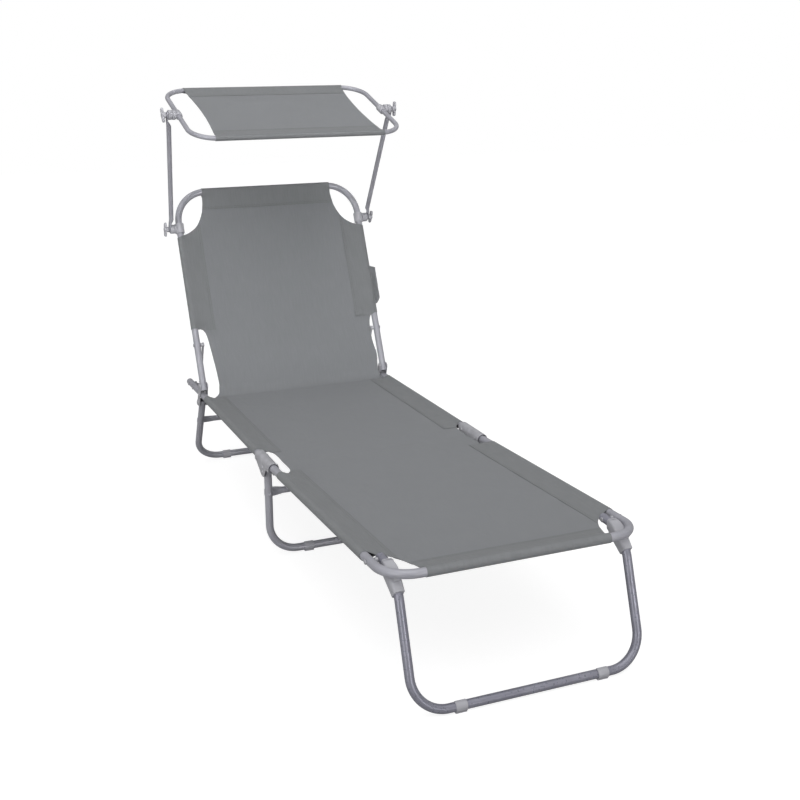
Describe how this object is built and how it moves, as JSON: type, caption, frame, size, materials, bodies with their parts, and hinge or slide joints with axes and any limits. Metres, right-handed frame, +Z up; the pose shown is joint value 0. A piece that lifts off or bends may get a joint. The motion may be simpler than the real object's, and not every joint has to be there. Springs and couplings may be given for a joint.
{
  "type": "sun lounger",
  "caption": "Folding sun lounger with grey cloth on a grey steel tube frame, reclining backrest, tilting sun canopy on two arms, side pocket and three folding U legs",
  "frame": {"origin": "Centre of the bounding box in x and y, on the floor", "axes": "X to the right of someone who looks from the foot end to the head end, Y from the foot end to the head end, Z up"},
  "size_m": [0.6916, 1.7212, 1.0972],
  "materials": {
    "frame_steel": "silver grey powder coat, slightly satin",
    "plate_zinc": "zinc plated sheet steel and rivets, dull",
    "grey_plastic": "light grey moulded plastic, matt",
    "cloth": "mid grey plain woven polyester, matt, double stitched seams"
  },
  "bodies": {
    "seat": {"seat_rail_left": "frame_steel", "seat_rail_right": "frame_steel", "rail_plug_left": "grey_plastic", "rail_plug_right": "grey_plastic", "bracket_plate_left_outer": "plate_zinc", "bracket_plate_right_outer": "plate_zinc", "bracket_plate_left_inner": "plate_zinc", "bracket_plate_right_inner": "plate_zinc", "notch_plate_left": "plate_zinc", "notch_plate_right": "plate_zinc", "backrest_pivot_rivet_left": "plate_zinc", "backrest_pivot_rivet_right": "plate_zinc", "rear_leg_pivot_rivet_left": "plate_zinc", "rear_leg_pivot_rivet_right": "plate_zinc", "seat_sling": "cloth"},
    "middle_leg": {"middle_leg": "frame_steel", "middle_leg_crossbar": "frame_steel", "hinge_cover_left": "plate_zinc", "hinge_cover_right": "plate_zinc", "middle_leg_clip_left": "grey_plastic", "middle_leg_clip_right": "grey_plastic", "hinge_rivet_left_front": "plate_zinc", "hinge_rivet_right_front": "plate_zinc", "hinge_rivet_left_rear": "plate_zinc", "hinge_rivet_right_rear": "plate_zinc"},
    "foot": {"foot_frame": "frame_steel", "foot_sling": "cloth", "front_leg_pivot_rivet_left": "plate_zinc", "front_leg_pivot_rivet_right": "plate_zinc"},
    "front_leg": {"front_leg": "frame_steel", "leg_saddle_left": "grey_plastic", "leg_saddle_right": "grey_plastic", "front_leg_clip_left": "grey_plastic", "front_leg_clip_right": "grey_plastic"},
    "rear_leg": {"rear_leg": "frame_steel", "rear_leg_crossbar": "frame_steel", "rear_leg_clip_left": "grey_plastic", "rear_leg_clip_right": "grey_plastic"},
    "backrest": {"backrest_frame": "frame_steel", "backrest_sling": "cloth", "side_pocket": "cloth", "backrest_plug_left": "grey_plastic", "backrest_plug_right": "grey_plastic", "stay_pivot_rivet_left": "plate_zinc", "stay_pivot_rivet_right": "plate_zinc", "lower_clamp_left": "grey_plastic", "lower_clamp_right": "grey_plastic"},
    "stay_left": {"backrest_stay_left": "plate_zinc"},
    "stay_right": {"backrest_stay_right": "plate_zinc"},
    "canopy_arms": {"canopy_arm_left": "frame_steel", "canopy_arm_right": "frame_steel"},
    "canopy": {"canopy_frame": "frame_steel", "canopy_sling": "cloth", "upper_clamp_left": "grey_plastic", "upper_clamp_right": "grey_plastic"},
    "lower_knob_left": {"lower_knob_left": "grey_plastic"},
    "lower_knob_right": {"lower_knob_right": "grey_plastic"},
    "upper_knob_left": {"upper_knob_left": "grey_plastic"},
    "upper_knob_right": {"upper_knob_right": "grey_plastic"}
  },
  "joints": [
    {"name": "mid_fold", "type": "hinge", "parent": "seat", "child": "middle_leg", "pos_m": [0, 0.02906, 0.2472], "axis": [1, 0, 0], "range_deg": [0, 87]},
    {"name": "foot_fold", "type": "hinge", "parent": "middle_leg", "child": "foot", "pos_m": [0, -0.05094, 0.2472], "axis": [1, 0, 0], "range_deg": [0, 87]},
    {"name": "front_leg_fold", "type": "hinge", "parent": "foot", "child": "front_leg", "pos_m": [0, -0.69195, 0.26965], "axis": [1, 0, 0], "range_deg": [0, 108.75]},
    {"name": "rear_leg_fold", "type": "hinge", "parent": "seat", "child": "rear_leg", "pos_m": [0, 0.62889, 0.22027], "axis": [1, 0, 0], "range_deg": [-115.71, 0]},
    {"name": "backrest_recline", "type": "hinge", "parent": "seat", "child": "backrest", "pos_m": [0, 0.60924, 0.27341], "axis": [1, 0, 0], "range_deg": [-65, 36]},
    {"name": "stay_left_fold", "type": "hinge", "parent": "backrest", "child": "stay_left", "pos_m": [-0.2623, 0.65933, 0.38245], "axis": [1, 0, 0], "range_deg": [-59.58, 107.58]},
    {"name": "stay_right_fold", "type": "hinge", "parent": "backrest", "child": "stay_right", "pos_m": [0.2623, 0.65933, 0.38245], "axis": [1, 0, 0], "range_deg": [-59.58, 107.58]},
    {"name": "canopy_arms_swing", "type": "hinge", "parent": "backrest", "child": "canopy_arms", "pos_m": [0, 0.805, 0.6996], "axis": [-1, 0, 0], "range_deg": [-95, 60]},
    {"name": "canopy_tilt", "type": "hinge", "parent": "canopy_arms", "child": "canopy", "pos_m": [0, 0.65973, 1.03368], "axis": [1, 0, 0], "range_deg": [-75, 75]},
    {"name": "lower_knob_left_turn", "type": "hinge", "parent": "backrest", "child": "lower_knob_left", "pos_m": [-0.326, 0.805, 0.6996], "axis": [-1, 0, 0], "continuous": true},
    {"name": "lower_knob_right_turn", "type": "hinge", "parent": "backrest", "child": "lower_knob_right", "pos_m": [0.326, 0.805, 0.6996], "axis": [1, 0, 0], "continuous": true},
    {"name": "upper_knob_left_turn", "type": "hinge", "parent": "canopy", "child": "upper_knob_left", "pos_m": [-0.345, 0.65973, 1.03368], "axis": [-1, 0, 0], "continuous": true},
    {"name": "upper_knob_right_turn", "type": "hinge", "parent": "canopy", "child": "upper_knob_right", "pos_m": [0.345, 0.65973, 1.03368], "axis": [1, 0, 0], "continuous": true}
  ],
  "couplings": [
    {"joint": "foot_fold", "follows": "mid_fold", "ratio": 1},
    {"joint": "front_leg_fold", "follows": "mid_fold", "ratio": 1.25},
    {"joint": "rear_leg_fold", "follows": "mid_fold", "ratio": -1.33},
    {"joint": "stay_left_fold", "follows": "backrest_recline", "ratio": -1.655},
    {"joint": "stay_right_fold", "follows": "backrest_recline", "ratio": -1.655}
  ]
}
